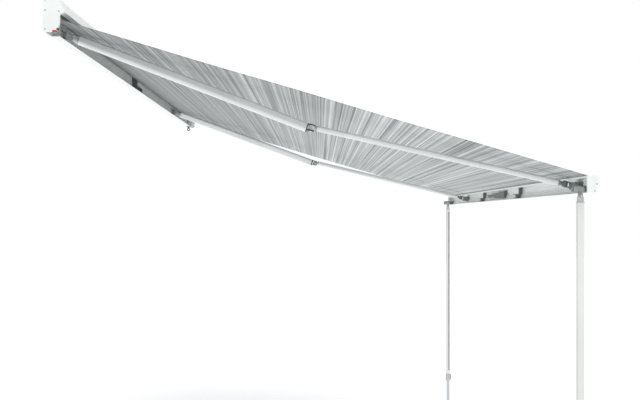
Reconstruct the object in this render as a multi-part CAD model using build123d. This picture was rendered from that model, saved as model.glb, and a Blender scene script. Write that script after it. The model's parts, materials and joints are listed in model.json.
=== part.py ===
# Roll out awning for a caravan or camper, arms out and legs down, in millimetres.
# X runs along the case, the awning rolls out towards -Y, +Z is up.
# The origin is on the wall face, at the middle of the case's length and height.
import os
from math import asin, atan2, cos, degrees, hypot, pi, radians, sin, sqrt
from build123d import *

os.makedirs("parts", exist_ok=True)

# Share of a tube's width that its corner radius takes
oval_share = 0.42

# Case
case_length = 4000.0
case_top = 80.0
case_bottom = 82.0
wall_gap = 4.0
back_wall = 2.5
hood_wall = 2.0
cap_thick = 14.0
cap_rear = 1.0
top_flange = 30.0
bottom_plate = 44.0
plate_relief = 110.0
hood_top_depth = 56.0
hood_brow_depth = 82.0
hood_brow_z = 50.0
nose_depth = 99.0
nose_z = 5.0
nose_under_depth = 80.0
nose_under_z = 4.0
mouth_depth = 76.0
mouth_low_z = 49.0
chin_depth = 63.0
chin_z = 76.0
cap_fillet = 6.0

# Screws, bolts and cap inserts
screw_r = 2.1
screw_head_r = 4.0
screw_head = 2.2
screw_length = 18.0
screw_fit = 0.05
cap_screw_top = (12.0, 60.0)
cap_screw_mid = (12.0, 13.0)
cap_screw_low = (12.0, 72.0)
cap_screw_nose = (74.0, 8.0)
insert_depth = 18.0
insert_height = 9.0
insert_thick = 10.0
insert_rear = 44.0
insert_proud = 3.0
bolt_r = 4.0
bolt_head_r = 6.5
bolt_head = 5.0
bolt_fit = 0.05

# Wall brackets
bracket_length = 150.0
bracket_height = 120.0
bracket_corner = 8.0
bracket_hole_r = 4.5
bracket_hole_x = 100.0
bracket_hole_z = 80.0
bracket_inset = 420.0
bracket_bolt_x = 55.0
bracket_bolt_z = 30.0

# Roller
roller_depth = 46.0
roller_z = 20.5
roller_r = 30.0
roller_wall = 2.0
roll_thick = 4.0
roller_left_gap = 3.0
roller_right_gap = 42.0
plug_length = 40.0
plug_fit = 0.05
journal_r = 6.0
journal_fit = 0.05
journal_left = 8.0
journal_gap = 1.0
cradle_thick = 14.0
cradle_gap = 1.0
cradle_wall = 5.0
cradle_x = -262.0
cradle_front = 34.0
rail_left_x = -255.0
rail_right_x = -110.0
rail_tall = 32.0
rail_pocket = 56.0
rest_depth = 40.0
rest_wall = 5.0

# Winding gear
wheel_teeth = 12
gear_pitch = 10.0
gear_centre = 26.0
wheel_thick = 8.0
tooth_wide = 4.6
tooth_tip = 2.2
tooth_high = 2.4
tooth_deep = 2.7
worm_shaft_r = 5.0
worm_turns = 2.5
worm_fit = 0.05
gear_inset = 20.0
gear_wall = 3.0
gear_gap = 1.5
gear_neck = 14.0
gear_neck_front = 46.0
eye_r = 11.0
eye_wire = 3.5
eye_collar_r = 8.0
eye_collar = 10.0

# Folding arms: the pivots, out from the wall and in height
arm_slack = 7.5
arm_roll = 35.0
shoulder_depth = 29.0
shoulder_z = 42.0
wrist_depth = 2426.0
wrist_z = 757.0
wrist_closed_depth = 61.0
wrist_closed_z = 50.0
elbow_closed_z = 44.0
left_arm_inset = 256.0
right_arm_inset = 796.0

# Arm pieces
upper_wide = 34.0
upper_tall = 46.0
upper_wall = 2.0
fore_wide = 27.0
fore_tall = 28.0
fore_wall = 1.8
fore_depth = 65.0
tube_fit = 0.1
spigot = 30.0
pin_r = 5.0
pin_fit = 0.05
pin_head_r = 8.0
pin_head = 2.0
shoulder_eye_r = 12.0
shoulder_eye = 14.0
shoulder_lug = 5.0
shoulder_tube_start = 62.0
shoulder_plate = 4.0
shoulder_plate_wide = 70.0
shoulder_plate_tall = 52.0
shoulder_bolt_rise = 14.0
elbow_eye_r = 15.0
elbow_eye = 10.0
elbow_cheek_r = 16.0
elbow_cheek = 7.0
elbow_tube_end = 26.0
fork_base = 5.5
fore_tube_start = 26.0
wrist_eye_r = 13.0
wrist_eye = 9.0
wrist_lug = 5.0
wrist_tube_end = 32.0
hinge_gap = 0.5
neck_clear = 3.0
open_pivot_play = 3.2
open_eye_play = 2.0
spring_r = 13.0
spring_bore = 6.0
spring_length = 620.0
spring_hook = 40.0

# Lead bar
bar_wrist_gap = 20.0
bar_deep = 50.0
bar_top_rise = 28.0
bar_tall = 76.5
bar_wall = 2.2
bar_taper = 16.0
bar_cap = 10.0
bar_lip = 22.0
bar_brow = 8.0
bar_rib = 3.0
bar_rib_step = 14.0
bar_ribs = 4
bar_groove_r = 5.0
bar_groove_depth = 9.0
bar_groove_drop = 4.5
bar_groove_bore = 3.4
bar_corner = 7.0
wrist_block_out = 65.0
wrist_block_in = 30.0
wrist_block_tall = 34.0
wrist_block_rear = 8.0
wrist_drop_share = 0.8
clip_wide = 16.0
clip_wall = 3.0
clip_reach = 20.0
clip_plate = 24.0
clip_left_x = -624.0
clip_right_x = 480.0
latch_left_x = -225.0
latch_right_x = 308.0
latch_drop = 38.0
latch_tall = 20.0
latch_deep = 10.0
latch_slider = 325.0
latch_slider_tall = 32.0
latch_block = 150.0
latch_block_tall = 44.0

# Canopy
canopy_thick = 1.0
canopy_right_gap = 58.0
canopy_left_gap = 20.0
canopy_roll_gap = 0.3
keder_r = 3.0
slot_wide = 2.4

# Legs
leg_inset = 65.0
leg_set_in = 11.0
leg_axis_drop = 60.0
leg_pin_drop = 30.0
leg_deep = 34.0
leg_wide = 20.0
leg_wall = 1.6
leg_corner_share = 0.25
leg_pin_head_share = 1.5
leg_top_drop = 61.0
leg_outer_length = 1550.0
barrel_r = 16.0
barrel_back = 33.0
barrel_ahead = 15.0
hinge_shaft_r = 7.0
hinge_nut_r = 11.0
hinge_nut = 5.0
ear_thick = 4.0
ear_r = 7.0
head_r = 10.5
head_deep = 26.0
head_plug = 60.0
leg_pin_r = 4.0
leg_pin_head = 3.0
clamp_height = 60.0
clamp_wall = 5.0
clamp_overlap = 25.0
inner_deep = 27.0
inner_wide = 14.0
inner_wall = 1.5
inner_overlap = 900.0
inner_out = 320.0
foot_deep = 42.0
foot_wide = 28.0
foot_thick = 6.0
foot_socket = 45.0
foot_socket_wall = 3.0
slide_gap = 0.4
lever_length = 46.0
lever_thick = 6.0
lever_wide = 12.0
lever_pin_r = 3.0

overrun = 1.0

half_length = case_length / 2
wall_in = wall_gap + back_wall
bar_rear = wrist_depth + bar_wrist_gap
bar_top = wrist_z - bar_top_rise
leg_depth = bar_rear - leg_set_in
leg_axis_z = bar_top + leg_axis_drop
leg_pin_z = leg_axis_z + leg_pin_drop
leg_top = leg_axis_z + leg_top_drop
leg_bottom = leg_top + leg_outer_length
barrel_rear = leg_depth - barrel_back
barrel_front = leg_depth + barrel_ahead
inner_top = leg_bottom - inner_overlap
ground_z = leg_bottom + inner_out


def spot(x, depth, z):
    """A point that lies depth out from the wall."""
    return Vector(x, -depth, z)


def section(x):
    """A plane across the case at x, drawn in depth and height, facing -X."""
    return Plane(origin=(x, 0, 0), x_dir=(0, -1, 0), z_dir=(-1, 0, 0))


def along_case(outline, x_from, x_to):
    """Extrude an outline, drawn in depth and height, between two places along X."""
    return extrude(section(x_to) * outline, amount=x_to - x_from, dir=(-1, 0, 0))


def slab(x_from, x_to, depth_from, depth_to, z_from, z_to):
    """A square block between two places each way."""
    centre = spot((x_from + x_to) / 2, (depth_from + depth_to) / 2, (z_from + z_to) / 2)
    return Pos(*centre) * Box(x_to - x_from, depth_to - depth_from, z_to - z_from)


def rod(start, end, radius):
    """A round bar from one point to another."""
    run = end - start
    return Plane(origin=start, z_dir=run) * Cylinder(
        radius, run.length, align=(Align.CENTER, Align.CENTER, Align.MIN)
    )


def disc(centre, axis, low, high, radius):
    """A round plate about an axis, from low to high along it."""
    way = axis.normalized()
    return rod(centre + way * low, centre + way * high, radius)


def polygon(points):
    return make_face(Polyline(*points, close=True))


def oval(wide, tall):
    """A rounded tube section."""
    return RectangleRounded(wide, tall, min(wide, tall) * oval_share)


def span(start, end, sketch, up):
    """Extrude a sketch, with its height along up, from one point to another."""
    run = end - start
    side = up.cross(run).normalized()
    return extrude(Plane(origin=start, x_dir=side, z_dir=run) * sketch, amount=run.length)


def turned(vector, axis, angle):
    return vector.rotate(Axis((0, 0, 0), axis), angle)


def angle_between(first, second):
    return degrees(atan2(first.cross(second).length, first.dot(second)))


def save(shape, name):
    """Write one piece, or a group of pieces, as a STEP file."""
    solids = shape.solids()
    shape = solids[0] if len(solids) == 1 else Compound(solids)
    shape.label = name
    export_step(shape, f"parts/{name}.step")


# The left arm's pivots, at rest and folded
arm_x = -half_length + cap_thick + left_arm_inset
right_arm_x = half_length - cap_thick - right_arm_inset
arm_mirror = Plane(origin=((arm_x + right_arm_x) / 2, 0, 0), z_dir=(1, 0, 0))
leg_mirror = Plane.YZ
up = Vector(0, 0, 1)
inward = Vector(1, 0, 0)

shoulder = spot(arm_x, shoulder_depth, -shoulder_z)
wrist = spot(arm_x, wrist_depth, -wrist_z)
wrist_closed = spot(arm_x, wrist_closed_depth, -wrist_closed_z)

reach = wrist - shoulder
arm_length = reach.length / 2 + arm_slack
elbow_out = sqrt(arm_length**2 - (reach.length / 2) ** 2)
sag_way = reach.cross(inward).normalized()
sag_way = sag_way if sag_way.Z < 0 else -sag_way
bend_way = inward * cos(radians(arm_roll)) + sag_way * sin(radians(arm_roll))
elbow = shoulder + reach * 0.5 + bend_way * elbow_out

middle = (shoulder + wrist_closed) * 0.5
step = wrist_closed - shoulder
elbow_closed_y = middle.Y - (-elbow_closed_z - middle.Z) * step.Z / step.Y
elbow_rise = hypot(elbow_closed_y - shoulder.Y, -elbow_closed_z - shoulder.Z)
elbow_closed = Vector(
    arm_x + sqrt(arm_length**2 - elbow_rise**2), elbow_closed_y, -elbow_closed_z
)

# Hinge axes, tilted so that the arms sag when out and lie level when folded
upper_way = (elbow - shoulder).normalized()
upper_way_closed = (elbow_closed - shoulder).normalized()
fore_way = (wrist - elbow).normalized()
fore_way_closed = (wrist_closed - elbow_closed).normalized()
shoulder_axis = upper_way.cross(upper_way_closed).normalized()
shoulder_angle = angle_between(upper_way, upper_way_closed)
wrist_axis = fore_way.cross(fore_way_closed).normalized()
wrist_angle = angle_between(fore_way, fore_way_closed)
fore_way_back = turned(fore_way_closed, shoulder_axis, -shoulder_angle)
wrist_axis_back = turned(wrist_axis, shoulder_axis, -shoulder_angle)
elbow_axis = (fore_way_back - fore_way).cross(wrist_axis_back - wrist_axis).normalized()
fore_flat = fore_way - elbow_axis * fore_way.dot(elbow_axis)
fore_flat_back = fore_way_back - elbow_axis * fore_way_back.dot(elbow_axis)
elbow_angle = angle_between(fore_flat, fore_flat_back)
if fore_flat.cross(fore_flat_back).dot(elbow_axis) < 0:
    elbow_axis = -elbow_axis
elbow_axis_closed = turned(elbow_axis, shoulder_axis, shoulder_angle)


def swing_upper(shape):
    """Move a piece of the upper arm from its folded place to its place at rest."""
    return shape.rotate(Axis(shoulder, shoulder_axis), -shoulder_angle)


def swing_fore(shape):
    """Move a piece of the forearm from its folded place to its place at rest."""
    shape = shape.rotate(Axis(wrist_closed, wrist_axis), -wrist_angle)
    return shape.moved(Location(wrist - wrist_closed))


def steep(axis):
    """The same axis line, pointing up."""
    return axis if axis.Z > 0 else -axis


upper_end = Vector(elbow_closed.X - elbow_tube_end, shoulder.Y, elbow_closed.Z)
upper_start = Vector(arm_x + shoulder_tube_start, shoulder.Y, shoulder.Z)
fore_start = spot(elbow_closed.X - fore_tube_start, fore_depth, -elbow_closed_z)
fore_end = spot(arm_x + wrist_tube_end, fore_depth, -wrist_closed_z)

print("shoulder", shoulder, "axis", shoulder_axis, "angle", shoulder_angle)
print("elbow", elbow, "axis", elbow_axis, "angle", elbow_angle)
print("wrist", wrist, "axis", wrist_axis, "angle", wrist_angle)
print("elbow folded", elbow_closed)


# Case
def case_outline():
    """The end view of a case cap, in depth and height."""
    return polygon([
        (cap_rear, -case_bottom),
        (cap_rear, case_top),
        (hood_top_depth, case_top),
        (hood_brow_depth, hood_brow_z),
        (nose_depth, nose_z),
        (nose_under_depth, -nose_under_z),
        (mouth_depth, -nose_under_z - nose_z),
        (mouth_depth, -mouth_low_z),
        (chin_depth, -chin_z),
        (chin_depth - cap_fillet, -case_bottom),
    ])


def make_case_back():
    inner = half_length - cap_thick
    rear = slab(-inner, inner, wall_gap, wall_in, -case_bottom, case_top - hood_wall)
    top_low = case_top - hood_wall - back_wall
    top = slab(-inner, inner, wall_gap, wall_gap + top_flange, top_low, case_top - hood_wall)
    plate_x = inner - plate_relief + cap_thick
    floor_top = -case_bottom + back_wall
    floor = slab(-plate_x, plate_x, wall_gap, bottom_plate, -case_bottom, floor_top)
    shape = rear + top + floor
    for x, z in bolt_places():
        shape -= rod(spot(x, 0, z), spot(x, wall_in + overrun, z), bolt_r + bolt_fit)
    return shape


def hood_region():
    return polygon([
        (wall_gap, -nose_under_z),
        (wall_gap, case_top),
        (hood_top_depth, case_top),
        (hood_brow_depth, hood_brow_z),
        (nose_depth, nose_z),
        (nose_under_depth, -nose_under_z),
    ])


def make_hood():
    inner = half_length - cap_thick
    outer = along_case(hood_region(), -inner, inner)
    core = along_case(offset(hood_region(), -hood_wall, kind=Kind.INTERSECTION), -inner, inner)
    under = slab(-inner, inner, 0, nose_under_depth, -case_bottom, hood_wall)
    rear = slab(-inner, inner, 0, wall_gap + hood_wall, -case_bottom, case_top - hood_wall)
    return outer - core - under - rear


def screw_places():
    top_depth, top_z = cap_screw_top
    mid_depth, mid_z = cap_screw_mid
    low_depth, low_z = cap_screw_low
    nose_screw_depth, nose_screw_z = cap_screw_nose
    return [
        (top_depth, top_z), (mid_depth, mid_z), (low_depth, -low_z),
        (nose_screw_depth, nose_screw_z),
    ]


def insert_block():
    """The coloured insert at the foot of the left cap, and the recess it sits in."""
    low = -case_bottom - insert_proud
    return slab(
        -half_length, -half_length + insert_thick, insert_rear, insert_rear + insert_depth,
        low, low + insert_height,
    )


def make_left_cap():
    shape = along_case(case_outline(), -half_length, -half_length + cap_thick)
    axle = spot(-half_length + cap_thick - journal_left - overrun, roller_depth, roller_z)
    inner = spot(-half_length + cap_thick + overrun, roller_depth, roller_z)
    shape -= rod(axle, inner, journal_r + journal_fit)
    shape -= insert_block()
    for depth, z in screw_places():
        start = spot(-half_length - overrun, depth, z)
        head = spot(-half_length + screw_head, depth, z)
        end = spot(-half_length + cap_thick + overrun, depth, z)
        shape -= rod(start, end, screw_r + screw_fit) + rod(start, head, screw_head_r + screw_fit)
    return shape


def make_right_cap():
    shape = along_case(case_outline(), half_length - cap_thick, half_length)
    shape -= mirror(insert_block(), Plane.YZ)
    for depth, z in screw_places():
        start = spot(half_length + overrun, depth, z)
        head = spot(half_length - screw_head, depth, z)
        end = spot(half_length - cap_thick - overrun, depth, z)
        shape -= rod(start, end, screw_r + screw_fit) + rod(start, head, screw_head_r + screw_fit)
    return shape


def make_cap_screws():
    screws = []
    for depth, z in screw_places():
        start = spot(-half_length, depth, z)
        head = rod(start, spot(-half_length + screw_head, depth, z), screw_head_r)
        shank = rod(start, spot(-half_length + cap_thick, depth, z), screw_r)
        screws.append(head + shank)
    return Compound(screws + [mirror(screw, Plane.YZ) for screw in screws])


def make_cap_inserts():
    insert = insert_block()
    return Compound([insert, mirror(insert, Plane.YZ)])


def bracket_centres():
    inset = half_length - bracket_inset
    return [-inset, 0, inset]


def bracket_bolt_places():
    return [
        (centre + side * bracket_bolt_x, bracket_bolt_z)
        for centre in bracket_centres() for side in (-1, 1)
    ]


def shoulder_bolt_places():
    side = shoulder_plate_wide / 2 - bolt_head_r - hinge_gap
    level = shoulder_bolt_rise - shoulder_z
    return [(x + way * side, level) for x in (arm_x, right_arm_x) for way in (-1, 1)]


def bolt_places():
    return bracket_bolt_places() + shoulder_bolt_places()


def make_wall_brackets():
    """Flat hook plates behind the case, with the holes that screw to the wall."""
    plates = []
    for centre in bracket_centres():
        half, tall = bracket_length / 2, bracket_height / 2
        plate = slab(centre - half, centre + half, 0, wall_gap, -tall, tall)
        plate = fillet(plate.edges().filter_by(Axis.Y), bracket_corner)
        for side in (-1, 1):
            for level in (-1, 1):
                x = centre + side * bracket_hole_x / 2
                z = level * bracket_hole_z / 2
                plate -= rod(spot(x, -overrun, z), spot(x, wall_gap + overrun, z), bracket_hole_r)
            x = centre + side * bracket_bolt_x
            hole = spot(x, -overrun, bracket_bolt_z), spot(x, wall_gap + overrun, bracket_bolt_z)
            plate -= rod(*hole, bolt_r + bolt_fit)
        plates.append(plate)
    return Compound(plates)


def make_case_bolts():
    bolts = []
    for x, z in bracket_bolt_places():
        shank = rod(spot(x, bolt_fit, z), spot(x, wall_in, z), bolt_r)
        bolts.append(shank + rod(spot(x, wall_in, z), spot(x, wall_in + bolt_head, z), bolt_head_r))
    for x, z in shoulder_bolt_places():
        seat = wall_in + shoulder_plate
        shank = rod(spot(x, wall_gap + bolt_fit, z), spot(x, seat, z), bolt_r)
        bolts.append(shank + rod(spot(x, seat, z), spot(x, seat + bolt_head, z), bolt_head_r))
    return Compound(bolts)


# Roller and winding gear
roll_r = roller_r + roll_thick
roller_left = -half_length + cap_thick + roller_left_gap
roller_right = half_length - cap_thick - roller_right_gap
gear_x = half_length - cap_thick - gear_inset
wheel_r = wheel_teeth * gear_pitch / (2 * pi)
worm_r = gear_centre - wheel_r
worm_depth = roller_depth - gear_centre


def roller_point(x):
    return spot(x, roller_depth, roller_z)


def make_roller_tube():
    start, end = roller_point(roller_left), roller_point(roller_right)
    return rod(start, end, roller_r) - rod(start, end, roller_r - roller_wall)


def make_fabric_roll():
    start = roller_point(-half_length + canopy_left_gap)
    end = roller_point(half_length - canopy_right_gap)
    return rod(start, end, roll_r) - rod(start, end, roller_r)


def make_roller_plugs():
    plug_r = roller_r - roller_wall - plug_fit
    left = rod(roller_point(roller_left), roller_point(roller_left + plug_length), plug_r)
    left += rod(
        roller_point(-half_length + cap_thick - journal_left), roller_point(roller_left), journal_r
    )
    right = rod(roller_point(roller_right - plug_length), roller_point(roller_right), plug_r)
    journal_end = roller_point(half_length - cap_thick - journal_gap)
    right += rod(roller_point(roller_right), journal_end, journal_r)
    return Compound([left, right])


def make_worm_wheel():
    """A straight toothed wheel, with a gap between teeth facing the worm."""
    points = []
    for tooth in range(wheel_teeth):
        middle_angle = 2 * pi * (tooth + 0.5) / wheel_teeth
        for side, radius, width in (
            (-1, wheel_r - tooth_deep, tooth_wide), (-1, wheel_r + tooth_high, tooth_tip),
            (1, wheel_r + tooth_high, tooth_tip), (1, wheel_r - tooth_deep, tooth_wide),
        ):
            angle = pi + middle_angle + side * width / 2 / radius
            points.append((radius * cos(angle), radius * sin(angle)))
    wheel = extrude(polygon(points), amount=wheel_thick)
    wheel -= Cylinder(journal_r + plug_fit, 3 * wheel_thick)
    place = Plane(
        origin=roller_point(gear_x + wheel_thick / 2), x_dir=(0, -1, 0), z_dir=(-1, 0, 0)
    )
    return place * wheel


def make_worm_shaft():
    """A one start worm on an upright shaft that ends in the collar of the winding eye."""
    root = worm_r - tooth_deep
    thread_deep = tooth_deep + tooth_high
    half_root, half_tip = tooth_wide / 2, tooth_tip / 2
    low = roller_z - (worm_turns + 1) * gear_pitch / 2
    path = Helix(gear_pitch, worm_turns * gear_pitch, root)
    profile = polygon([
        (-overrun, -half_root), (thread_deep, -half_tip), (thread_deep, half_tip),
        (-overrun, half_root),
    ])
    start = Plane(origin=path @ 0, x_dir=(1, 0, 0), z_dir=path % 0)
    thread = sweep(start * profile, path, is_frenet=True)
    thread = Pos(gear_x, -worm_depth, low) * thread
    top = roller_z + worm_turns * gear_pitch / 2 + gear_pitch
    core = rod(spot(gear_x, worm_depth, low - gear_pitch), spot(gear_x, worm_depth, top), root)
    journal_top = low - tooth_wide / 2 - hinge_gap
    stem = rod(
        spot(gear_x, worm_depth, -case_bottom - eye_collar), spot(gear_x, worm_depth, journal_top),
        worm_shaft_r,
    )
    return core + thread + stem


def gear_box():
    """The outer block of the gear housing."""
    half = gear_inset
    rear = wall_in
    front = roller_depth + wheel_r + tooth_high + gear_gap + gear_wall
    reach_z = wheel_r + tooth_high + gear_gap + gear_wall
    return slab(gear_x - half, gear_x + half, rear, front, roller_z - reach_z, roller_z + reach_z)


def make_gear_housing():
    """A box round the wheel and worm, with a neck down the worm's shaft."""
    shape = gear_box()
    shape += slab(
        gear_x - gear_neck, gear_x + gear_neck, wall_in, gear_neck_front,
        hinge_gap - case_bottom, roller_z,
    )
    wheel_room = wheel_r + tooth_high + gear_gap
    half = wheel_thick / 2 + gear_gap
    shape -= rod(roller_point(gear_x - half), roller_point(gear_x + half), wheel_room)
    shape -= rod(
        roller_point(gear_x - gear_inset - overrun), roller_point(gear_x + gear_inset + overrun),
        journal_r + journal_fit,
    )
    worm_room = worm_r + tooth_high + gear_gap
    top = roller_z + wheel_room
    low = roller_z - wheel_room
    shape -= rod(spot(gear_x, worm_depth, low), spot(gear_x, worm_depth, top), worm_room)
    shape -= rod(
        spot(gear_x, worm_depth, -case_bottom), spot(gear_x, worm_depth, low + overrun),
        worm_shaft_r + worm_fit,
    )
    return shape


def make_winding_eye():
    """A collar with a ring below it, for the hook of a winding handle."""
    low = -case_bottom - eye_collar
    collar = rod(spot(gear_x, worm_depth, low), spot(gear_x, worm_depth, -case_bottom), eye_collar_r)
    collar -= rod(
        spot(gear_x, worm_depth, low), spot(gear_x, worm_depth, overrun), worm_shaft_r
    )
    centre = spot(gear_x, worm_depth, low - eye_r)
    ring = Plane(origin=centre, z_dir=(1, 0, 0)) * Torus(eye_r, eye_wire)
    bore = rod(spot(gear_x, worm_depth, low), spot(gear_x, worm_depth, 0), worm_shaft_r)
    return collar + (ring - bore)


def make_arm_rail():
    """A long rest for the folded elbows, with pockets open to the front."""
    low = back_wall - case_bottom
    rail = slab(rail_left_x, rail_right_x, wall_in, rest_depth, low, low + rail_tall)
    left = rail_left_x + rest_wall
    while left + rail_pocket < rail_right_x:
        rail -= slab(
            left, left + rail_pocket, wall_in + rest_wall, rest_depth + overrun,
            low + rest_wall, low + rail_tall - rest_wall,
        )
        left += rail_pocket + rest_wall
    return rail


def make_mid_cradle():
    """A hanger that carries the middle of the roller from the back wall."""
    inner_r = roll_r + cradle_gap
    outer_r = inner_r + cradle_wall
    x_from, x_to = cradle_x - cradle_thick / 2, cradle_x + cradle_thick / 2
    ring = rod(roller_point(x_from), roller_point(x_to), outer_r)
    ring -= rod(roller_point(x_from - overrun), roller_point(x_to + overrun), inner_r)
    ring = ring & slab(x_from, x_to, wall_in, cradle_front, -case_bottom, roller_z)
    stay = slab(x_from, x_to, wall_in, cradle_front, roller_z - outer_r, roller_z)
    stay -= rod(roller_point(x_from - overrun), roller_point(x_to + overrun), inner_r)
    floor_top = back_wall - case_bottom
    post = slab(x_from, x_to, wall_in, rest_depth, floor_top, roller_z - inner_r - cradle_wall)
    post -= slab(
        x_from + rest_wall, x_to + overrun, wall_in + rest_wall, rest_depth - rest_wall,
        floor_top + rest_wall, roller_z - inner_r - cradle_wall - rest_wall,
    )
    return ring + stay + post + make_arm_rail()


# Shoulders
def make_shoulder_bracket():
    """A plate on the back wall with two lugs, square to the tilted pivot."""
    half_wide, half_tall = shoulder_plate_wide / 2, shoulder_plate_tall / 2
    shape = slab(
        arm_x - half_wide, arm_x + half_wide, wall_in, wall_in + shoulder_plate,
        -shoulder_z - half_tall, -shoulder_z + half_tall,
    )
    room = slab(
        arm_x - half_wide, arm_x + half_wide, wall_in, nose_depth, -case_bottom, roller_z
    )
    low = shoulder_eye + hinge_gap
    for side in (-1, 1):
        way = shoulder_axis * side
        lug = disc(shoulder, way, low, low + shoulder_lug, shoulder_eye_r)
        arm_plane = Plane(origin=shoulder + way * low, x_dir=(1, 0, 0), z_dir=way)
        back = shoulder_depth * 2
        stay = extrude(
            arm_plane * Pos(0, side * back / 2) * Rectangle(2 * shoulder_eye_r, back),
            amount=shoulder_lug, dir=way,
        )
        lug += stay & room
        shape += lug
    bore_high = low + shoulder_lug + overrun
    shape -= disc(shoulder, shoulder_axis, -bore_high, bore_high, pin_r + pin_fit)
    for x, z in shoulder_bolt_places():
        if abs(x - arm_x) < half_wide:
            hole = spot(x, wall_in - overrun, z), spot(x, wall_in + shoulder_plate + overrun, z)
            shape -= rod(*hole, bolt_r + bolt_fit)
    return shape


def hinge_pin(centre, axis, half_length_of_pin):
    """A pin with a flat head at each end."""
    half = half_length_of_pin
    pin = disc(centre, axis, -half, half, pin_r)
    top = disc(centre, axis, half, half + pin_head, pin_head_r)
    return pin + top + disc(centre, axis, -half - pin_head, -half, pin_head_r)


def make_shoulder_pin():
    return hinge_pin(shoulder, shoulder_axis, shoulder_eye + hinge_gap + shoulder_lug)


# Upper arm, drawn folded and swung out
def upper_section(inset):
    return oval(upper_wide - 2 * inset, upper_tall - 2 * inset)


def make_upper_tube():
    sketch = upper_section(0) - upper_section(upper_wall)
    return swing_upper(span(upper_start, upper_end, sketch, up))


def make_shoulder_knuckle():
    eye = disc(shoulder, shoulder_axis, -shoulder_eye, shoulder_eye, shoulder_eye_r)
    root = shoulder + inward * (shoulder_eye_r + neck_clear)
    neck_sketch = oval(2 * shoulder_eye_r - hinge_gap, 2 * shoulder_eye - hinge_gap)
    neck = span(shoulder, root, neck_sketch, shoulder_axis)
    side = shoulder_axis.cross(inward).normalized()
    near = Plane(origin=root, x_dir=side, z_dir=inward) * neck_sketch
    way = upper_end - upper_start
    far_side = up.cross(way).normalized()
    far = Plane(origin=upper_start, x_dir=far_side, z_dir=way) * upper_section(0)
    shape = eye + neck + loft([near, far])
    plug_end = upper_start + way.normalized() * spigot
    shape += span(upper_start, plug_end, upper_section(upper_wall + tube_fit), up)
    high = shoulder_eye + overrun
    shape -= disc(shoulder, shoulder_axis, -high, high, pin_r + pin_fit)
    return swing_upper(shape)


def elbow_plate(low, high, points):
    """A plate square to the elbow pin, between two heights along it."""
    axis = steep(elbow_axis_closed)
    base = Plane(origin=elbow_closed + axis * low, x_dir=(1, 0, 0), z_dir=axis)
    return extrude(base * polygon(points), amount=high - low, dir=axis)


def make_elbow_fork():
    axis = steep(elbow_axis_closed)
    low = elbow_eye + hinge_gap
    high = low + elbow_cheek
    plate_end = elbow_tube_end - fork_base / 2
    middle_y = -elbow_closed.Y - shoulder_depth
    points = [
        (0, elbow_cheek_r),
        (-plate_end, middle_y + upper_wide / 2 - neck_clear),
        (-plate_end, middle_y - upper_wide / 2 + neck_clear),
        (-elbow_cheek_r, 0),
    ]
    shape = disc(elbow_closed, axis, low, high, elbow_cheek_r)
    shape += disc(elbow_closed, axis, -high, -low, elbow_cheek_r)
    shape += elbow_plate(low, high, points)
    shape += elbow_plate(-high, -low, points)
    way = (upper_end - upper_start).normalized()
    shape += span(upper_end, upper_end + way * fork_base, upper_section(0), up)
    shape += span(upper_end - way * spigot, upper_end, upper_section(upper_wall + tube_fit), up)
    bore = high + overrun
    shape -= disc(elbow_closed, axis, -bore, bore, pin_r + pin_fit)
    return swing_upper(shape)


def make_elbow_pin():
    high = elbow_eye + hinge_gap + elbow_cheek
    return swing_upper(hinge_pin(elbow_closed, elbow_axis_closed, high))


def make_arm_spring():
    """The tension spring inside the upper arm, on its pull rod."""
    way = (upper_end - upper_start).normalized()
    start = upper_start + way * spigot
    end = upper_end - way * spigot
    coil = rod(start + way * spring_hook, start + way * (spring_hook + spring_length), spring_r)
    return swing_upper(coil + rod(start, end, spring_bore / 2))


# Forearm, drawn folded and swung out
def fore_section(inset):
    return oval(fore_wide - 2 * inset, fore_tall - 2 * inset)


def make_fore_tube():
    sketch = fore_section(0) - fore_section(fore_wall)
    return swing_fore(span(fore_start, fore_end, sketch, up))


def make_elbow_knuckle():
    axis = steep(elbow_axis_closed)
    eye = disc(elbow_closed, axis, -elbow_eye, elbow_eye, elbow_eye_r)
    offset_y = -elbow_closed.Y - fore_depth
    plate_end = fore_tube_start - neck_clear * 3
    points = [
        (0, elbow_eye_r - neck_clear),
        (-plate_end, offset_y + fore_wide / 2),
        (-plate_end, offset_y - fore_wide / 2),
        (0, -elbow_eye_r),
    ]
    shape = eye + elbow_plate(-elbow_eye, elbow_eye, points)
    way = (fore_end - fore_start).normalized()
    near_spot = fore_start + inward * (fore_tube_start - plate_end)
    plate_sketch = oval(fore_wide, 2 * elbow_eye)
    near = Plane(origin=near_spot, x_dir=axis.cross(-inward), z_dir=-inward) * plate_sketch
    far = Plane(origin=fore_start, x_dir=up.cross(way).normalized(), z_dir=way) * fore_section(0)
    shape += loft([near, far])
    plug_end = fore_start + way * spigot
    shape += span(fore_start, plug_end, fore_section(fore_wall + tube_fit), up)
    bore = elbow_eye + overrun
    shape -= disc(elbow_closed, axis, -bore, bore, pin_r + pin_fit)
    return swing_fore(shape)


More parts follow.
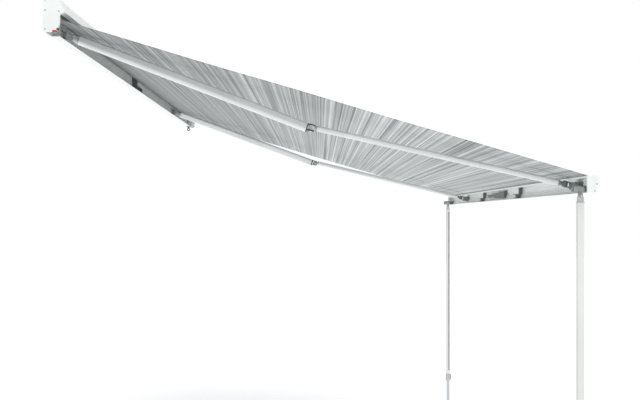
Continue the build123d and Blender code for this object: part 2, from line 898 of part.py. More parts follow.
def make_wrist_knuckle(eye_half, bore_play):
    axis = steep(wrist_axis)
    eye = disc(wrist_closed, axis, -eye_half, eye_half, wrist_eye_r)
    neck_end = wrist_eye_r + neck_clear
    way = (fore_end - fore_start).normalized()
    offset_y = wrist_closed_depth - fore_depth
    base = Plane(origin=wrist_closed - axis * eye_half, x_dir=(1, 0, 0), z_dir=axis)
    points = [
        (0, wrist_eye_r), (neck_end, wrist_eye_r + offset_y / 2),
        (neck_end, offset_y / 2 - wrist_eye_r), (0, -wrist_eye_r),
    ]
    shape = eye + extrude(base * polygon(points), amount=2 * eye_half, dir=axis)
    near_spot = wrist_closed + inward * neck_end + Vector(0, offset_y / 2, 0)
    near_sketch = oval(2 * wrist_eye_r - hinge_gap, 2 * eye_half - hinge_gap)
    near = Plane(origin=near_spot, x_dir=axis.cross(inward), z_dir=inward) * near_sketch
    far = Plane(origin=fore_end, x_dir=up.cross(-way).normalized(), z_dir=-way) * fore_section(0)
    shape += loft([near, far])
    shape += span(fore_end - way * spigot, fore_end, fore_section(fore_wall + tube_fit), up)
    bore = eye_half + overrun
    shape -= disc(wrist_closed, axis, -bore, bore, pin_r + bore_play)
    return swing_fore(shape)


# Lead bar
bar_low = bar_top + bar_tall


def bar_outline():
    """The end view of the lead bar, in depth and height."""
    front = bar_rear + bar_deep
    return polygon([
        (bar_rear, -bar_top),
        (front - bar_corner, -bar_top),
        (front, -bar_top - bar_corner),
        (front, -bar_top - bar_tall / 2),
        (front - bar_taper, -bar_low),
        (bar_rear, -bar_low),
    ])


def bar_core(x_from, x_to):
    """The room inside the lead bar's walls between two places along it."""
    core = offset(bar_outline(), -bar_wall, kind=Kind.INTERSECTION)
    return along_case(core, x_from, x_to)


def bar_room(x_from, x_to):
    """The room inside the lead bar's ribs between two places along it."""
    room = offset(bar_outline(), -bar_wall - bar_rib, kind=Kind.INTERSECTION)
    return along_case(room, x_from, x_to)


def make_lead_bar():
    inner = half_length - bar_cap
    shape = along_case(bar_outline(), -inner, inner) - bar_core(-half_length, half_length)
    lip_rear = bar_rear + bar_deep - bar_taper - bar_lip
    shape -= slab(
        -half_length, half_length, bar_rear - overrun, lip_rear,
        -bar_low - overrun, -bar_top - bar_brow,
    )
    rib_room = bar_core(-inner, inner) - bar_room(-half_length, half_length)
    for step_number in range(1, bar_ribs + 1):
        z = -bar_top - bar_brow - step_number * bar_rib_step
        band = slab(-inner, inner, bar_rear + bar_deep / 2, bar_rear + bar_deep, z, z + bar_wall)
        shape += rib_room & band
    groove = spot(0, bar_rear + bar_groove_depth, -bar_top - bar_groove_drop)
    left, right = Vector(-inner, groove.Y, groove.Z), Vector(inner, groove.Y, groove.Z)
    shape += rod(left, right, bar_groove_r) & along_case(bar_outline(), -inner, inner)
    shape -= rod(left, right, bar_groove_bore)
    depth = bar_rear + bar_groove_depth
    shape -= slab(
        -inner, inner, depth - slot_wide / 2, depth + slot_wide / 2,
        -bar_top - bar_groove_drop, -bar_top + overrun,
    )
    return shape


def bar_screw_places():
    front = bar_rear + bar_deep
    return [(front - bar_corner, -bar_top - bar_tall / 2), (front - bar_taper, -bar_low + bar_corner)]


def make_left_bar_cap():
    shape = along_case(bar_outline(), -half_length, -half_length + bar_cap)
    for depth, z in bar_screw_places():
        start = spot(-half_length - overrun, depth, z)
        head = spot(-half_length + screw_head, depth, z)
        end = spot(-half_length + bar_cap + overrun, depth, z)
        shape -= rod(start, end, screw_r + screw_fit) + rod(start, head, screw_head_r + screw_fit)
    return shape


def make_bar_screws():
    screws = []
    for depth, z in bar_screw_places():
        start = spot(-half_length, depth, z)
        head = rod(start, spot(-half_length + screw_head, depth, z), screw_head_r)
        screws.append(head + rod(start, spot(-half_length + bar_cap, depth, z), screw_r))
    return Compound(screws + [mirror(screw, Plane.YZ) for screw in screws])


def make_wrist_bracket():
    """Two lugs on a block that fills the front of the lead bar."""
    axis = steep(wrist_axis)
    low = wrist_eye + hinge_gap
    middle_z = -wrist_z - bar_deep * abs(axis.Y) * wrist_drop_share
    outer_x, inner_x = arm_x - wrist_block_out, arm_x + wrist_block_in
    block = slab(
        outer_x, inner_x, bar_rear + wrist_block_rear, bar_rear + bar_deep,
        middle_z - wrist_block_tall / 2, middle_z + wrist_block_tall / 2,
    )
    shape = block & bar_room(outer_x, inner_x)
    room = slab(outer_x, inner_x, wrist_depth, bar_rear + bar_deep / 2, -bar_low, -bar_top)
    for side in (-1, 1):
        way = axis * side
        shape += disc(wrist, way, low, low + wrist_lug, wrist_eye_r)
        base = Plane(origin=wrist + way * low, x_dir=(1, 0, 0), z_dir=way)
        stay = extrude(
            base * Pos(0, -side * bar_deep / 2) * Rectangle(2 * wrist_eye_r, bar_deep),
            amount=wrist_lug, dir=way,
        )
        shape += stay & room
    bore = low + wrist_lug + overrun
    return shape - disc(wrist, axis, -bore, bore, pin_r + pin_fit)


def make_wrist_pin():
    return hinge_pin(wrist, wrist_axis, wrist_eye + hinge_gap + wrist_lug)


def make_leg_clips():
    """Spring clips in the lead bar that hold the folded legs."""
    clips = []
    half_leg = leg_wide / 2 + slide_gap
    for x in (clip_left_x, clip_right_x):
        x_from, x_to = x - clip_wide / 2, x + clip_wide / 2
        back = leg_depth - leg_deep / 2 + clip_reach
        front = leg_depth + leg_deep / 2 + slide_gap
        outer = slab(
            x_from, x_to, back, bar_rear + bar_deep,
            -leg_axis_z - half_leg - clip_wall, -leg_axis_z + half_leg + clip_wall,
        )
        mouth = slab(
            x_from, x_to, back, front, -leg_axis_z - half_leg, -leg_axis_z + half_leg
        )
        rear = slab(x_from, x_to, back, bar_rear + bar_deep / 2, -bar_low, -bar_top)
        plate_front = bar_rear + bar_deep
        plate = slab(x_from, x_to, plate_front - clip_plate, plate_front, -bar_low, -bar_top)
        room = bar_room(x_from, x_to)
        clips.append(((outer - mouth) & (rear + room)) + (plate & room))
    return Compound(clips)


def make_centre_latch():
    """A long latch on the front wall of the lead bar: a rail, a slider and a block."""
    front = bar_rear + bar_deep
    shapes = []
    for right_x, tall in (
        (latch_right_x, latch_tall),
        (latch_left_x + latch_slider, latch_slider_tall),
        (latch_left_x + latch_block, latch_block_tall),
    ):
        middle = -bar_top - latch_drop
        shapes.append(slab(
            latch_left_x, right_x, front - bar_taper - latch_deep, front,
            middle - tall / 2, middle + tall / 2,
        ))
    return (shapes[0] + shapes[1] + shapes[2]) & bar_room(latch_left_x, latch_right_x)


# Canopy
def canopy_run():
    """Where the cloth leaves the roll and where it drops into the lead bar's slot."""
    end_depth, end_z = bar_rear + bar_groove_depth, canopy_thick / 2 + canopy_roll_gap - bar_top
    away, drop = end_depth - roller_depth, end_z - roller_z
    radius = roll_r + canopy_roll_gap + canopy_thick / 2
    slope = atan2(drop, away) + asin(radius / hypot(away, drop))
    start = (roller_depth + radius * sin(slope), roller_z - radius * cos(slope))
    return start, (end_depth, end_z), slope


def make_canopy():
    (start_depth, start_z), (end_depth, end_z), slope = canopy_run()
    rise_depth, rise_z = sin(slope) * canopy_thick / 2, cos(slope) * canopy_thick / 2
    x_from, x_to = -half_length + canopy_left_gap, half_length - canopy_right_gap
    cloth = along_case(polygon([
        (start_depth - rise_depth, start_z + rise_z),
        (end_depth - rise_depth, end_z + rise_z),
        (end_depth + rise_depth, end_z - rise_z),
        (start_depth + rise_depth, start_z - rise_z),
    ]), x_from, x_to)
    bead_z = -bar_top - bar_groove_drop
    stem = slab(
        x_from, x_to, end_depth - canopy_thick, end_depth, bead_z, end_z
    )
    bead = rod(spot(x_from, end_depth, bead_z), spot(x_to, end_depth, bead_z), keder_r)
    return cloth + stem + bead


# Legs, the left one; the right one mirrors it
leg_x = -half_length + leg_inset


def leg_section(inset):
    return oval_box(leg_wide - 2 * inset, leg_deep - 2 * inset)


def oval_box(wide, deep):
    return RectangleRounded(wide, deep, min(wide, deep) * leg_corner_share)


def upright(sketch, z_from, z_to):
    """Extrude a plan view about the leg's middle, between two heights."""
    return extrude(Plane(origin=spot(leg_x, leg_depth, z_from)) * sketch, amount=z_to - z_from)


def make_leg_hinge():
    """A block in the lead bar with the shaft that the knuckle turns on."""
    rear = barrel_front + hinge_gap
    block = slab(
        leg_x - barrel_r, leg_x + barrel_r, rear, bar_rear + bar_deep,
        -leg_axis_z - barrel_r + hinge_gap, -leg_axis_z + barrel_r,
    )
    shape = block & bar_room(leg_x - barrel_r, leg_x + barrel_r)
    nut_front = barrel_rear - hinge_gap
    shape += rod(
        spot(leg_x, nut_front, -leg_axis_z), spot(leg_x, rear + barrel_r, -leg_axis_z),
        hinge_shaft_r,
    )
    nut = spot(leg_x, nut_front - hinge_nut, -leg_axis_z), spot(leg_x, nut_front, -leg_axis_z)
    return shape + rod(*nut, hinge_nut_r)


def make_leg_knuckle():
    """A cast barrel with two ears that carry the leg's pin."""
    rear, front = spot(leg_x, barrel_rear, -leg_axis_z), spot(leg_x, barrel_front, -leg_axis_z)
    shape = rod(rear, front, barrel_r)
    inner = leg_wide / 2 + slide_gap
    for side in (-1, 1):
        near, far = leg_x + side * inner, leg_x + side * (inner + ear_thick)
        shape += slab(
            min(near, far), max(near, far), leg_depth - ear_r, leg_depth + ear_r,
            -leg_pin_z, -leg_axis_z,
        )
        shape += rod(spot(near, leg_depth, -leg_pin_z), spot(far, leg_depth, -leg_pin_z), ear_r)
    ends = inner + ear_thick + overrun
    shape -= rod(
        spot(leg_x - ends, leg_depth, -leg_pin_z), spot(leg_x + ends, leg_depth, -leg_pin_z),
        leg_pin_r + pin_fit,
    )
    far_rear = spot(leg_x, barrel_rear - overrun, -leg_axis_z)
    far_front = spot(leg_x, barrel_front + overrun, -leg_axis_z)
    return shape - rod(far_rear, far_front, hinge_shaft_r + pin_fit)


def make_leg_pin():
    ends = leg_wide / 2 + slide_gap + ear_thick
    heads = ends + leg_pin_head
    shape = rod(
        spot(leg_x - ends, leg_depth, -leg_pin_z), spot(leg_x + ends, leg_depth, -leg_pin_z),
        leg_pin_r,
    )
    for side in (-1, 1):
        near, far = leg_x + side * ends, leg_x + side * heads
        head = spot(near, leg_depth, -leg_pin_z), spot(far, leg_depth, -leg_pin_z)
        shape += rod(*head, leg_pin_r * leg_pin_head_share)
    return shape


def make_leg_head():
    """A plastic head on the leg pin, plugged into the top of the outer tube."""
    half = leg_wide / 2
    near, far = leg_x - half, leg_x + half
    shape = rod(spot(near, leg_depth, -leg_pin_z), spot(far, leg_depth, -leg_pin_z), head_r)
    shape += slab(
        near, far, leg_depth - head_deep / 2, leg_depth + head_deep / 2,
        -leg_top, -leg_pin_z - head_r / 2,
    )
    shape += upright(oval_box(leg_wide + 2 * leg_wall, leg_deep + 2 * leg_wall),
                     -leg_top, -leg_top + leg_pin_head)
    shape += upright(leg_section(leg_wall + tube_fit), -leg_top - head_plug, -leg_top)
    ends = half + overrun
    return shape - rod(
        spot(leg_x - ends, leg_depth, -leg_pin_z), spot(leg_x + ends, leg_depth, -leg_pin_z),
        leg_pin_r + pin_fit,
    )


def make_outer_tube():
    return upright(leg_section(0) - leg_section(leg_wall), -leg_bottom, -leg_top)


clamp_top = leg_bottom - clamp_overlap
clamp_low = clamp_top + clamp_height
clamp_front = leg_depth + leg_deep / 2 + clamp_wall


def make_clamp():
    """A collar on the foot of the outer tube, with two lugs and a pin for its lever."""
    outer = oval_box(leg_wide + 2 * clamp_wall, leg_deep + 2 * clamp_wall)
    shape = upright(outer, -clamp_low, -clamp_top)
    shape -= upright(oval_box(leg_wide + 2 * tube_fit, leg_deep + 2 * tube_fit), -leg_bottom, 0)
    inner = oval_box(inner_wide + 2 * slide_gap, inner_deep + 2 * slide_gap)
    shape -= upright(inner, -clamp_low - overrun, -leg_bottom)
    lug_in, lug_out = lever_wide / 2 + slide_gap, lever_wide / 2 + slide_gap + clamp_wall / 2
    pin_z = -clamp_top - lever_thick
    for side in (-1, 1):
        near, far = leg_x + side * lug_in, leg_x + side * lug_out
        shape += slab(
            min(near, far), max(near, far), clamp_front - overrun, clamp_front + lever_thick,
            pin_z - lever_thick, pin_z + lever_thick / 2,
        )
    pin_depth = clamp_front + lever_thick / 2
    return shape + rod(
        spot(leg_x - lug_out, pin_depth, pin_z), spot(leg_x + lug_out, pin_depth, pin_z),
        lever_pin_r / 2,
    )


def make_clamp_lever():
    pin_z = -clamp_top - lever_thick
    pin_depth = clamp_front + lever_thick / 2
    half = lever_wide / 2
    eye_half = lever_thick / 2 - hinge_gap
    shape = rod(
        spot(leg_x - half, pin_depth, pin_z), spot(leg_x + half, pin_depth, pin_z), eye_half
    )
    shape += slab(
        leg_x - half, leg_x + half, pin_depth - hinge_gap, pin_depth + eye_half,
        pin_z - lever_length, pin_z,
    )
    ends = half + overrun
    return shape - rod(
        spot(leg_x - ends, pin_depth, pin_z), spot(leg_x + ends, pin_depth, pin_z),
        lever_pin_r / 2 + pin_fit,
    )


def make_inner_tube():
    outer = oval_box(inner_wide, inner_deep)
    core = oval_box(inner_wide - 2 * inner_wall, inner_deep - 2 * inner_wall)
    return upright(outer - core, -ground_z + foot_thick, -inner_top)


def make_foot():
    """A pad with a socket round the foot of the inner tube."""
    base = upright(oval_box(foot_wide, foot_deep), -ground_z, -ground_z + foot_thick)
    wall = foot_socket_wall + tube_fit
    socket = oval_box(inner_wide + 2 * wall, inner_deep + 2 * wall)
    socket -= oval_box(inner_wide + 2 * tube_fit, inner_deep + 2 * tube_fit)
    return base + upright(socket, -ground_z + foot_thick, -ground_z + foot_socket)


# Write every piece
def save_pair(shape, name, plane):
    save(shape, f"left_{name}")
    save(mirror(shape, plane), f"right_{name}")


def save_both(shape, name, plane):
    save(Compound([shape, mirror(shape, plane)]), name)


def save_case():
    save(make_case_back(), "case_back")
    save(make_hood(), "hood")
    save(make_left_cap(), "left_case_cap")
    save(make_right_cap(), "right_case_cap")
    save(make_cap_screws(), "cap_screws")
    save(make_cap_inserts(), "cap_inserts")
    save(make_wall_brackets(), "wall_brackets")
    save(make_case_bolts(), "case_bolts")
    save(make_mid_cradle(), "mid_cradle")
    save_both(make_shoulder_bracket(), "shoulder_brackets", arm_mirror)
    save_both(make_shoulder_pin(), "shoulder_pins", arm_mirror)


def save_roller():
    save(make_roller_tube(), "roller_tube")
    save(make_fabric_roll(), "fabric_roll")
    save(make_roller_plugs(), "roller_plugs")
    save(make_worm_wheel(), "worm_wheel")
    save(make_worm_shaft(), "worm_shaft")
    save(make_gear_housing(), "gear_housing")
    save(make_winding_eye(), "winding_eye")


def save_arms():
    save_pair(make_upper_tube(), "upper_arm", arm_mirror)
    save_pair(make_shoulder_knuckle(), "shoulder_knuckle", arm_mirror)
    save_pair(make_elbow_fork(), "elbow_fork", arm_mirror)
    save_pair(make_elbow_pin(), "elbow_pin", arm_mirror)
    save_pair(make_arm_spring(), "arm_spring", arm_mirror)
    save_pair(make_fore_tube(), "forearm", arm_mirror)
    save_pair(make_elbow_knuckle(), "elbow_knuckle", arm_mirror)
    save(make_wrist_knuckle(wrist_eye, pin_fit), "left_wrist_knuckle")
    open_knuckle = make_wrist_knuckle(wrist_eye - open_eye_play, open_pivot_play)
    save(mirror(open_knuckle, arm_mirror), "right_wrist_knuckle")


def save_lead_bar():
    save(make_lead_bar(), "lead_bar")
    save_pair(make_left_bar_cap(), "bar_cap", leg_mirror)
    save(make_bar_screws(), "bar_screws")
    save_both(make_wrist_bracket(), "wrist_brackets", arm_mirror)
    save_both(make_wrist_pin(), "wrist_pins", arm_mirror)
    save_both(make_leg_hinge(), "leg_hinges", leg_mirror)
    save(make_leg_clips(), "leg_clips")
    save(make_centre_latch(), "centre_latch")
    save(make_canopy(), "canopy")


def save_legs():
    save_pair(make_leg_knuckle(), "leg_knuckle", leg_mirror)
    save_pair(make_leg_pin(), "leg_pin", leg_mirror)
    save_pair(make_leg_head(), "leg_head", leg_mirror)
    save_pair(make_outer_tube(), "leg_outer_tube", leg_mirror)
    save_pair(make_clamp(), "leg_clamp", leg_mirror)
    save_pair(make_clamp_lever(), "clamp_lever", leg_mirror)
    save_pair(make_inner_tube(), "leg_inner_tube", leg_mirror)
    save_pair(make_foot(), "leg_foot", leg_mirror)


save_case()
save_roller()
save_arms()
save_lead_bar()
save_legs()
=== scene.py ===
import json
from math import cos, hypot, pi, radians, sin

import bpy
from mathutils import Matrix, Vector, noise


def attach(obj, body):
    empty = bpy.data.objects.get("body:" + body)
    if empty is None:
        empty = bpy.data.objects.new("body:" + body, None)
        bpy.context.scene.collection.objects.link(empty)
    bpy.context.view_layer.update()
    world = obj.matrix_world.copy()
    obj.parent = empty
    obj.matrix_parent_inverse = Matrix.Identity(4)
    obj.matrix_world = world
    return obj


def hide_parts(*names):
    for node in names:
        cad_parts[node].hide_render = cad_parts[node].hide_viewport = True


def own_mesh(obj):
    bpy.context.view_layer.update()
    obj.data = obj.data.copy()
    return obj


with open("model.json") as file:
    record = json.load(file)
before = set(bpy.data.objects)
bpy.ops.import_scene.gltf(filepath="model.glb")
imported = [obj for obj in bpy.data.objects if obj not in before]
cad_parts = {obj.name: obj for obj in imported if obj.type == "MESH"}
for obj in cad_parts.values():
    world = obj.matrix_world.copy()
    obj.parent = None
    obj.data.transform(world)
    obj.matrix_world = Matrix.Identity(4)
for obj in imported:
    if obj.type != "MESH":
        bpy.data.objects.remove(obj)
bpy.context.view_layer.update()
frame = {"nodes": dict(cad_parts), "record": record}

scene = bpy.context.scene

# Places in metres. HALF is half the case's length.
# A pair is the distance out from the wall and the height.
HALF = 2.0
GROUND = -2.720
LEAD_TRAVEL = (2.365, -0.707)

# Canopy
CLOTH_LEFT, CLOTH_RIGHT = -1.980, 1.942
CLOTH_START = (0.03613, -0.01287)
CLOTH_END = (2.455, -0.7282)
CLOTH_RUN = hypot(CLOTH_END[0] - CLOTH_START[0], CLOTH_END[1] - CLOTH_START[1])
CLOTH_LONG = 2.522
CLOTH_THICK = 0.0006
SAG, RIPPLE, FLUTTER = 0.003, 0.002, 0.001
LOOSE_EDGE = 0.5
CORD_R, CORD_DROP = 0.0028, -0.0053

# Roll of cloth on the roller tube, with the gaps that keep it off both surfaces
ROLLER = (0.046, 0.0205)
ROLL_R, TUBE_R = 0.034, 0.030
ROLL_TURNS = 6
GAP_IN, GAP_BOTH = 0.0003, 0.0004

# Rubber stops of the case caps: how far in they begin and end, and their round edge
PLUG, PLUG_R = (0.0665, -0.0715), 0.0045
PLUG_BACK, PLUG_FRONT, PLUG_EDGE = 0.0135, -0.0004, 0.0008

# Grey strips of painted shade on the legs: along the case, out from the wall and in height
STRIP_X = (1.9247, 1.9252)
STRIP_OUT = (2.4358, 2.4468)
STRIP_Z = (-2.340, -0.874)

# Camera: the picture's width, focal length and shift are in pixels
PICTURE_WIDE, FOCAL, SHIFT = 640, 820, 16
CAMERA = (-5.680, -1.246, -0.911)

# Light
SKY, SKY_STRENGTH = (0.985, 0.99, 1.0, 1), 0.52
FLOOR_SIZE, FLOOR_TONE, FLOOR_GLOW = 30.0, (0.86, 0.87, 0.88, 1), 0.45
SUNS = [
    ("key", (0.55, 0.35, -0.9), 1.0, 40),
    ("end_fill", (1.0, 0.1, 0.25), 0.65, 90),
    ("wall_fill", (0.1, -1.0, 0.6), 0.75, 60),
    ("front_fill", (0.25, 1.0, 0.15), 0.5, 50),
]


def spot(x, out, z):
    """A point from its place along the case, its distance out from the wall and its height."""
    return Vector((x, -out, z))


def make_camera():
    data = bpy.data.cameras.new("camera")
    data.sensor_width = 36.0
    data.lens = data.sensor_width * FOCAL / PICTURE_WIDE
    data.shift_y = SHIFT / PICTURE_WIDE
    data.clip_end = 100
    camera = bpy.data.objects.new("camera", data)
    camera.location = CAMERA
    camera.rotation_euler = (pi / 2, 0, -pi / 2)
    scene.collection.objects.link(camera)
    scene.camera = camera


make_camera()


# Finishes
def linear(value):
    """An 8 bit screen value as a linear one."""
    value /= 255
    return value / 12.92 if value <= 0.04045 else ((value + 0.055) / 1.055) ** 2.4


def tone(red, green, blue):
    return (linear(red), linear(green), linear(blue), 1.0)


class Finish:
    """A principled material with helpers for its node patterns."""

    def __init__(self, name, rough, metal=0.0, spec=0.5, coat=0.0, coat_rough=0.1):
        self.material = bpy.data.materials.new(name)
        self.material.use_nodes = True
        self.tree = self.material.node_tree
        self.shader = self.tree.nodes["Principled BSDF"]
        self.shader.inputs["Metallic"].default_value = metal
        self.shader.inputs["Roughness"].default_value = rough
        self.shader.inputs["Specular IOR Level"].default_value = spec
        self.shader.inputs["Coat Weight"].default_value = coat
        self.shader.inputs["Coat Roughness"].default_value = coat_rough

    def add(self, kind, **values):
        node = self.tree.nodes.new(kind)
        for key, value in values.items():
            setattr(node, key, value)
        return node

    def link(self, start, end):
        self.tree.links.new(start, end)

    def place(self, stretch=(1, 1, 1), source="Object"):
        """Coordinates in metres, times a stretch each way."""
        coordinates = self.add("ShaderNodeTexCoord")
        mapping = self.add("ShaderNodeMapping")
        mapping.inputs["Scale"].default_value = stretch
        self.link(coordinates.outputs[source], mapping.inputs["Vector"])
        return mapping.outputs["Vector"]

    def noise(self, scale, detail=2.0, rough=0.5, stretch=(1, 1, 1), source="Object"):
        node = self.add("ShaderNodeTexNoise")
        node.inputs["Scale"].default_value = scale
        node.inputs["Detail"].default_value = detail
        node.inputs["Roughness"].default_value = rough
        self.link(self.place(stretch, source), node.inputs["Vector"])
        return node.outputs["Fac"]

    def ramp(self, value, *stops):
        """A colour ramp through stops of a position with a colour or a grey value."""
        node = self.add("ShaderNodeValToRGB")
        elements = node.color_ramp.elements
        while len(elements) < len(stops):
            elements.new(0.5)
        for element, (position, colour) in zip(elements, stops):
            element.position = position
            element.color = colour if hasattr(colour, "__len__") else (colour,) * 3 + (1.0,)
        self.link(value, node.inputs["Fac"])
        return node.outputs["Color"]

    def total(self, first, second):
        node = self.add("ShaderNodeMath", operation="ADD")
        self.link(first, node.inputs[0])
        self.link(second, node.inputs[1])
        return node.outputs["Value"]

    def mix(self, factor, first, second, blend="MIX"):
        """A colour mix. Each value is a number, a colour or another node's output."""
        node = self.add("ShaderNodeMix", data_type="RGBA", blend_type=blend)
        for index, value in ((0, factor), (6, first), (7, second)):
            if isinstance(value, (int, float, tuple)):
                node.inputs[index].default_value = value
            else:
                self.link(value, node.inputs[index])
        return node.outputs[2]

    def colour(self, value):
        self.link(value, self.shader.inputs["Base Color"])

    def roughness(self, value):
        self.link(value, self.shader.inputs["Roughness"])

    def bump(self, height, strength, distance):
        node = self.add("ShaderNodeBump")
        node.inputs["Strength"].default_value = strength
        node.inputs["Distance"].default_value = distance
        self.link(height, node.inputs["Height"])
        self.link(node.outputs["Normal"], self.shader.inputs["Normal"])


def coat(name, light, dark, rough=0.38):
    """Powder coat: a fine orange peel, a slow change of tone and a little grime."""
    finish = Finish(name, rough, coat=0.15, coat_rough=0.25)
    slow = finish.noise(3.5, detail=4.0)
    base = finish.ramp(slow, (0.20, dark), (0.70, light))
    grime = finish.noise(26, detail=6.0, rough=0.65)
    spots = finish.ramp(grime, (0.62, 0.0), (0.80, 0.22))
    finish.colour(finish.mix(spots, base, dark))
    peel = finish.noise(900)
    uneven = finish.noise(60, detail=3.0)
    finish.roughness(finish.ramp(uneven, (0.3, rough - 0.06), (0.7, rough + 0.08)))
    finish.bump(peel, 0.25, 0.0003)
    return finish.material


def casting(name, light, dark, rough=0.5):
    """Sand cast and coated metal: a coarse grain and patches of a paler tone."""
    finish = Finish(name, rough)
    grain = finish.noise(420, detail=6.0, rough=0.6)
    worn = finish.noise(45, detail=5.0, rough=0.7)
    base = finish.ramp(worn, (0.35, dark), (0.60, light))
    finish.colour(finish.mix(finish.ramp(grain, (0.5, 0.0), (0.75, 0.5)), base, light))
    finish.roughness(finish.ramp(worn, (0.3, rough + 0.12), (0.7, rough - 0.1)))
    finish.bump(grain, 0.5, 0.0007)
    return finish.material


def drawn(name, light, dark, rough, stretch):
    """Drawn or brushed metal. The fine lines run along the way with the smallest stretch."""
    finish = Finish(name, rough, metal=1.0)
    lines = finish.noise(1.0, detail=5.0, rough=0.7, stretch=stretch)
    finish.colour(finish.ramp(lines, (0.3, dark), (0.7, light)))
    finish.roughness(finish.ramp(lines, (0.3, rough + 0.08), (0.7, rough - 0.06)))
    finish.bump(lines, 0.15, 0.0002)
    return finish.material


def moulded(name, light, dark, rough):
    """Moulded plastic: a fine spark eroded grain and a slow change of tone."""
    finish = Finish(name, rough)
    slow = finish.noise(30, detail=3.0)
    finish.colour(finish.ramp(slow, (0.35, dark), (0.65, light)))
    grain = finish.noise(1400, detail=3.0)
    finish.roughness(finish.ramp(slow, (0.3, rough - 0.05), (0.7, rough + 0.08)))
    finish.bump(grain, 0.3, 0.0003)
    return finish.material


def awning_cloth(name):
    """Woven cloth with irregular thin stripes along the case. Its UVs are in metres."""
    finish = Finish(name, 0.85, spec=0.25)
    finish.shader.inputs["Sheen Weight"].default_value = 0.25
    finish.shader.inputs["Sheen Roughness"].default_value = 0.5
    wide = finish.noise(1.0, detail=2.0, stretch=(0.04, 7, 1), source="UV")
    fine = finish.noise(1.0, detail=3.0, rough=0.6, stretch=(0.10, 48, 1), source="UV")
    thin = finish.noise(1.0, detail=2.0, rough=0.7, stretch=(0.25, 170, 1), source="UV")
    pale = finish.noise(1.0, detail=1.0, rough=0.5, stretch=(0.08, 95, 1), source="UV")
    base = finish.ramp(
        fine, (0.34, tone(104, 110, 109)), (0.44, tone(168, 174, 173)),
        (0.54, tone(190, 195, 194)), (0.66, tone(226, 230, 229)),
    )
    shade = finish.ramp(thin, (0.38, 0.32), (0.50, 1.0))
    streaked = finish.mix(0.9, base, shade, blend="MULTIPLY")
    light = finish.ramp(pale, (0.56, 0.0), (0.66, 0.7))
    streaked = finish.mix(light, streaked, tone(234, 237, 237))
    broad = finish.ramp(wide, (0.35, 0.80), (0.65, 1.0))
    streaked = finish.mix(1.0, streaked, broad, blend="MULTIPLY")
    # Painted shade: the cloth grows darker towards the case, where the case shades it
    run = finish.add("ShaderNodeSeparateXYZ")
    finish.link(finish.place((1, 1 / CLOTH_LONG, 1), "UV"), run.inputs["Vector"])
    painted_case_shade = finish.ramp(run.outputs["Y"], (0.10, 0.55), (0.60, 1.0))
    finish.colour(finish.mix(1.0, streaked, painted_case_shade, blend="MULTIPLY"))
    warp_way = finish.noise(1.0, detail=1.0, stretch=(900, 60, 1), source="UV")
    weft_way = finish.noise(1.0, detail=1.0, stretch=(60, 900, 1), source="UV")
    finish.bump(finish.total(warp_way, weft_way), 0.35, 0.0004)
    return finish.material


WHITE = coat("white_coat", tone(243, 246, 244), tone(228, 233, 230))
ARM = coat("arm_coat", tone(232, 235, 234), tone(214, 218, 217), rough=0.3)
DARK_CAST = casting("dark_cast", tone(96, 99, 102), tone(52, 54, 57))
GREY_CAST = casting("grey_cast", tone(168, 176, 170), tone(122, 130, 126), rough=0.45)
SHOULDER_CAST = casting("shoulder_cast", tone(210, 212, 212), tone(146, 149, 151))
PALE_CAST = casting("pale_cast", tone(206, 211, 210), tone(160, 166, 165), rough=0.4)
CRADLE_CAST = casting("cradle_cast", tone(112, 116, 118), tone(78, 82, 84))
WRIST_CAST = casting("wrist_cast", tone(134, 137, 138), tone(84, 87, 89))
CLIP_PLASTIC = moulded("clip_plastic", tone(112, 114, 114), tone(84, 86, 86), 0.5)
HINGE_CAST = casting("hinge_cast", tone(128, 142, 136), tone(84, 96, 91), rough=0.45)
LEG_COAT = coat("leg_coat", tone(229, 231, 228), tone(216, 218, 215), rough=0.42)
INNER_COAT = coat("inner_coat", tone(240, 243, 241), tone(222, 227, 224))
STEEL = drawn("steel", tone(190, 192, 196), tone(140, 142, 146), 0.34, (900, 900, 60))
BRIGHT = drawn("bright", tone(235, 236, 238), tone(205, 206, 210), 0.14, (60, 60, 900))
BRASS = drawn("brass_gear", tone(206, 176, 104), tone(160, 130, 70), 0.35, (300, 300, 300))
DARK_PLASTIC = moulded("dark_plastic", tone(58, 60, 63), tone(40, 42, 44), 0.45)
GREY_PLASTIC = moulded("grey_plastic", tone(202, 202, 200), tone(184, 184, 182), 0.45)
# Painted shade: the grey of the strips on the legs' inner faces
LEG_SHADE_GREY = moulded("painted_leg_shade", tone(146, 146, 145), tone(132, 132, 131), 0.5)
RED_PLASTIC = moulded("red_plastic", tone(196, 62, 46), tone(160, 40, 32), 0.28)
ALUMINIUM = drawn("bare_aluminium", tone(205, 207, 210), tone(170, 172, 176), 0.3, (1400, 1400, 12))
CLOTH = awning_cloth("cloth")

FINISHES = {
    "white_coat": WHITE, "arm_coat": ARM, "dark_cast": DARK_CAST, "grey_cast": GREY_CAST,
    "steel": STEEL, "bright": BRIGHT, "brass_gear": BRASS, "dark_plastic": DARK_PLASTIC,
    "grey_plastic": GREY_PLASTIC, "red_plastic": RED_PLASTIC, "bare_aluminium": ALUMINIUM,
    "cloth": CLOTH,
}

# Nodes with a shade of their slot's finish
SHADES = {
    "left_leg_outer_tube": LEG_COAT, "right_leg_outer_tube": LEG_COAT,
    "gear_housing": SHOULDER_CAST, "shoulder_brackets": SHOULDER_CAST,
    "left_shoulder_knuckle": SHOULDER_CAST, "right_shoulder_knuckle": SHOULDER_CAST,
    "left_elbow_knuckle": PALE_CAST, "right_elbow_knuckle": PALE_CAST,
    "left_wrist_knuckle": WRIST_CAST, "right_wrist_knuckle": WRIST_CAST,
    "wrist_brackets": WRIST_CAST, "mid_cradle": CRADLE_CAST, "leg_hinges": HINGE_CAST,
    "case_back": INNER_COAT, "centre_latch": CLIP_PLASTIC, "leg_clips": CLIP_PLASTIC,
}


